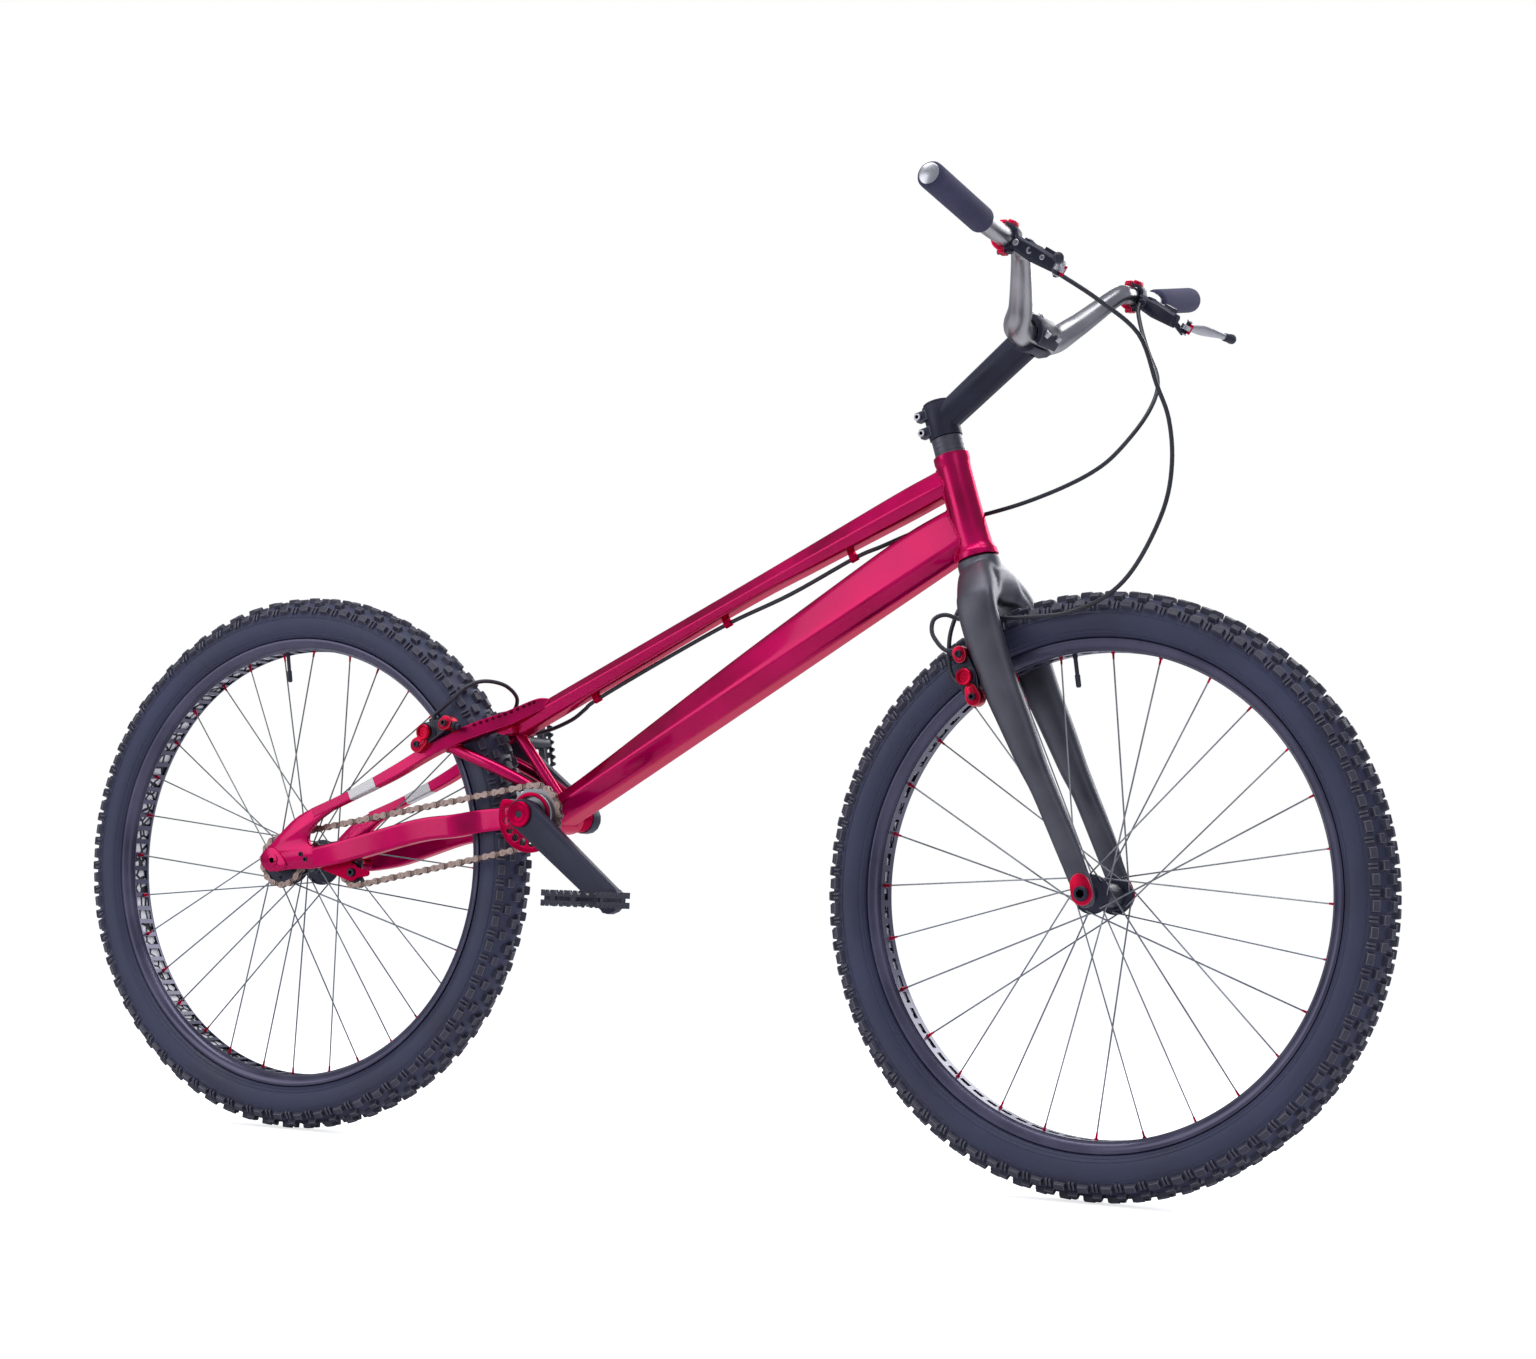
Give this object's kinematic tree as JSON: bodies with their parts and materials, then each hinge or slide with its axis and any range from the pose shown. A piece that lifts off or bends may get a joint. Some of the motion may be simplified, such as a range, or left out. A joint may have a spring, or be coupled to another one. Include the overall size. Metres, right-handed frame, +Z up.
{
  "type": "trials bike",
  "caption": "Trials bicycle without a saddle: two wheels, low sloping frame, straight-leg fork, rim brakes, single-speed chain with a tensioner.",
  "frame": {"origin": "centre of the bottom bracket, on the crank's axis and the bicycle's middle plane", "axes": "+X forwards along the bicycle, +Y to the rider's left along the crank's axis, +Z up"},
  "size_m": [1.776, 0.73, 1.0848],
  "materials": {
    "frame_paint": "gloss candy red over silver",
    "fork_paint": "satin dark graphite",
    "red_anodised": "red anodised",
    "black_metal": "black anodised, satin",
    "black_rim": "black anodised",
    "tyre": "matte rubber",
    "chain_steel": "oiled steel",
    "bar_metal": "polished",
    "grip_foam": "matte foam rubber",
    "pad_rubber": "moulded rubber",
    "hose": "smooth black",
    "black_plastic": "moulded black"
  },
  "bodies": {
    "frame": {"head_tube": "frame_paint", "top_tube": "frame_paint", "down_tube": "frame_paint", "bottom_bracket_shell": "frame_paint", "seat_tube": "frame_paint", "seat_strut_right": "frame_paint", "seat_strut_left": "frame_paint", "seatstay_right": "frame_paint", "seatstay_left": "frame_paint", "stay_yoke": "frame_paint", "chainstay_right": "frame_paint", "chainstay_left": "frame_paint", "dropout_right": "frame_paint", "dropout_left": "frame_paint", "rear_caliper_right": "red_anodised", "rear_caliper_left": "red_anodised", "rear_brake_hose": "hose", "rear_crossover_hose": "hose", "chain": "chain_steel", "rear_axle": "black_metal"},
    "rear_wheel": {"rear_hub": "black_metal", "rear_rim": "black_rim", "rear_tyre": "tyre", "rear_cog": "chain_steel"},
    "tensioner": {"tensioner_arm": "red_anodised"},
    "tension_pulley": {"tension_pulley": "black_plastic"},
    "guide_pulley": {"guide_pulley": "black_plastic"},
    "steering": {"fork_crown": "fork_paint", "fork_leg_right": "fork_paint", "fork_leg_left": "fork_paint", "headset_spacer": "black_metal", "stem": "black_metal", "stem_faceplate": "black_metal", "handlebar": "bar_metal", "grip_right": "grip_foam", "grip_left": "grip_foam", "lever_body_right": "black_plastic", "lever_body_left": "black_plastic", "front_caliper_right": "red_anodised", "front_caliper_left": "red_anodised", "front_brake_hose": "hose", "front_crossover_hose": "hose", "front_axle": "red_anodised", "rear_hose_stretch": "hose"},
    "front_wheel": {"front_hub": "black_metal", "front_rim": "black_rim", "front_tyre": "tyre"},
    "brake_lever_right": {"brake_lever_right": "bar_metal"},
    "brake_lever_left": {"brake_lever_left": "bar_metal"},
    "brake_pad_front_right": {"brake_pad_front_right": "pad_rubber"},
    "brake_pad_front_left": {"brake_pad_front_left": "pad_rubber"},
    "brake_pad_rear_right": {"brake_pad_rear_right": "pad_rubber"},
    "brake_pad_rear_left": {"brake_pad_rear_left": "pad_rubber"},
    "cranks": {"crank_axle": "black_metal", "crank_right": "black_metal", "crank_left": "black_metal", "bash_ring": "red_anodised"},
    "sprocket": {"sprocket": "chain_steel"},
    "pedal_right": {"pedal_right": "black_metal"},
    "pedal_left": {"pedal_left": "black_metal"}
  },
  "joints": [
    {"name": "steering_turn", "type": "hinge", "parent": "frame", "child": "steering", "pos_m": [0.68312, 0, -0.08091], "axis": [-0.309, 0, 0.9511], "range_deg": [-60, 60], "deforming": ["rear_hose_stretch"]},
    {"name": "front_wheel_spin", "type": "hinge", "parent": "steering", "child": "front_wheel", "pos_m": [0.72592, 0, -0.067], "axis": [0, 1, 0], "continuous": true},
    {"name": "rear_wheel_spin", "type": "hinge", "parent": "frame", "child": "rear_wheel", "pos_m": [-0.37608, 0, -0.067], "axis": [0, 1, 0], "continuous": true},
    {"name": "crank_turn", "type": "hinge", "parent": "frame", "child": "cranks", "pos_m": [0, 0, 0], "axis": [0, 1, 0], "continuous": true},
    {"name": "sprocket_turn", "type": "hinge", "parent": "frame", "child": "sprocket", "pos_m": [0, 0, 0], "axis": [0, 1, 0], "continuous": true},
    {"name": "pedal_spin_right", "type": "hinge", "parent": "cranks", "child": "pedal_right", "pos_m": [0.1396, -0.141, -0.09702], "axis": [0, 1, 0], "continuous": true},
    {"name": "pedal_spin_left", "type": "hinge", "parent": "cranks", "child": "pedal_left", "pos_m": [-0.1396, 0.141, 0.09702], "axis": [0, 1, 0], "continuous": true},
    {"name": "tensioner_swing", "type": "hinge", "parent": "frame", "child": "tensioner", "pos_m": [-0.31988, -0.052, -0.063], "axis": [0, 1, 0], "range_deg": [-6, 12], "stiffness_Nm_per_rad": 2, "deforming": ["chain"]},
    {"name": "tension_pulley_spin", "type": "hinge", "parent": "tensioner", "child": "tension_pulley", "pos_m": [-0.26238, -0.046, -0.078], "axis": [0, 1, 0], "continuous": true},
    {"name": "guide_pulley_spin", "type": "hinge", "parent": "frame", "child": "guide_pulley", "pos_m": [-0.31988, -0.046, -0.063], "axis": [0, 1, 0], "continuous": true},
    {"name": "brake_lever_right_pull", "type": "hinge", "parent": "steering", "child": "brake_lever_right", "pos_m": [0.72781, -0.182, 0.59731], "axis": [-0.5101, 0, -0.8601], "range_deg": [0, 22], "stiffness_Nm_per_rad": 0.5, "springref_deg": -5.73},
    {"name": "brake_lever_left_pull", "type": "hinge", "parent": "steering", "child": "brake_lever_left", "pos_m": [0.72781, 0.182, 0.59731], "axis": [0.5101, 0, 0.8601], "range_deg": [0, 22], "stiffness_Nm_per_rad": 0.5, "springref_deg": -5.73},
    {"name": "pad_front_right_slide", "type": "slide", "parent": "steering", "child": "brake_pad_front_right", "axis": [0, 1, 0], "range_m": [0, 0.0019]},
    {"name": "pad_front_left_slide", "type": "slide", "parent": "steering", "child": "brake_pad_front_left", "axis": [0, -1, 0], "range_m": [0, 0.0019]},
    {"name": "pad_rear_right_slide", "type": "slide", "parent": "frame", "child": "brake_pad_rear_right", "axis": [0, 1, 0], "range_m": [0, 0.0019]},
    {"name": "pad_rear_left_slide", "type": "slide", "parent": "frame", "child": "brake_pad_rear_left", "axis": [0, -1, 0], "range_m": [0, 0.0019]}
  ],
  "couplings": [
    {"joint": "sprocket_turn", "follows": "rear_wheel_spin", "ratio": 0.83333},
    {"joint": "tension_pulley_spin", "follows": "rear_wheel_spin", "ratio": 1.875},
    {"joint": "guide_pulley_spin", "follows": "rear_wheel_spin", "ratio": -1.875},
    {"joint": "pad_front_right_slide", "follows": "brake_lever_right_pull", "m_per_rad": 0.0047},
    {"joint": "pad_front_left_slide", "follows": "brake_lever_right_pull", "m_per_rad": 0.0047},
    {"joint": "pad_rear_right_slide", "follows": "brake_lever_left_pull", "m_per_rad": 0.0047},
    {"joint": "pad_rear_left_slide", "follows": "brake_lever_left_pull", "m_per_rad": 0.0047}
  ]
}
